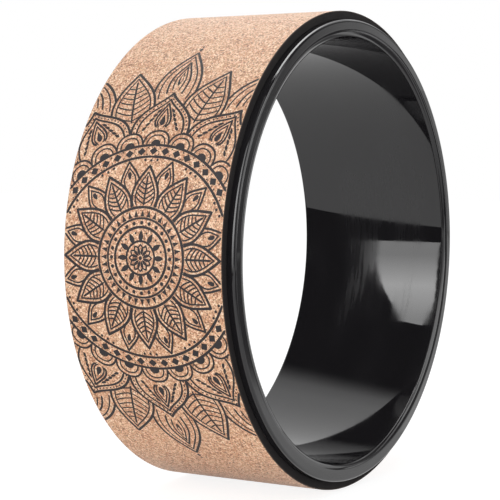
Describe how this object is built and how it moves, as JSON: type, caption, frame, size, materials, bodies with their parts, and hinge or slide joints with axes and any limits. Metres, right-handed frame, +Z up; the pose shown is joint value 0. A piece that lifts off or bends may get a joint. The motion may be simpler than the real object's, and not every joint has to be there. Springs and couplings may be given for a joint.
{
  "type": "yoga wheel",
  "caption": "Yoga wheel: a rigid glossy black hoop wrapped in a foam cushion with a printed cork face, for back bends, stretching and balance work.",
  "frame": {"origin": "on the wheel's axis, half way along its overall width", "axes": "+Y along the wheel's axis, away from the end where the hoop stands bare of the mat; +Z up, with the wheel standing on its tread at its lowest point"},
  "size_m": [0.33, 0.126, 0.33],
  "materials": {
    "hoop_plastic": "glossy black moulded ABS with fine rub marks",
    "foam": "matte black closed-cell foam, cut edges",
    "cork": "fine-grained cork sheet, matte, with a dark line print",
    "print_ink": "dark line print on the cork's face",
    "adhesive": "thin transfer adhesive"
  },
  "bodies": {
    "root": {"core_hoop": "hoop_plastic", "hoop_adhesive_film": "adhesive", "foam_cushion": "foam", "cork_adhesive_film": "adhesive", "cork_cover": "cork"}
  },
  "joints": []
}
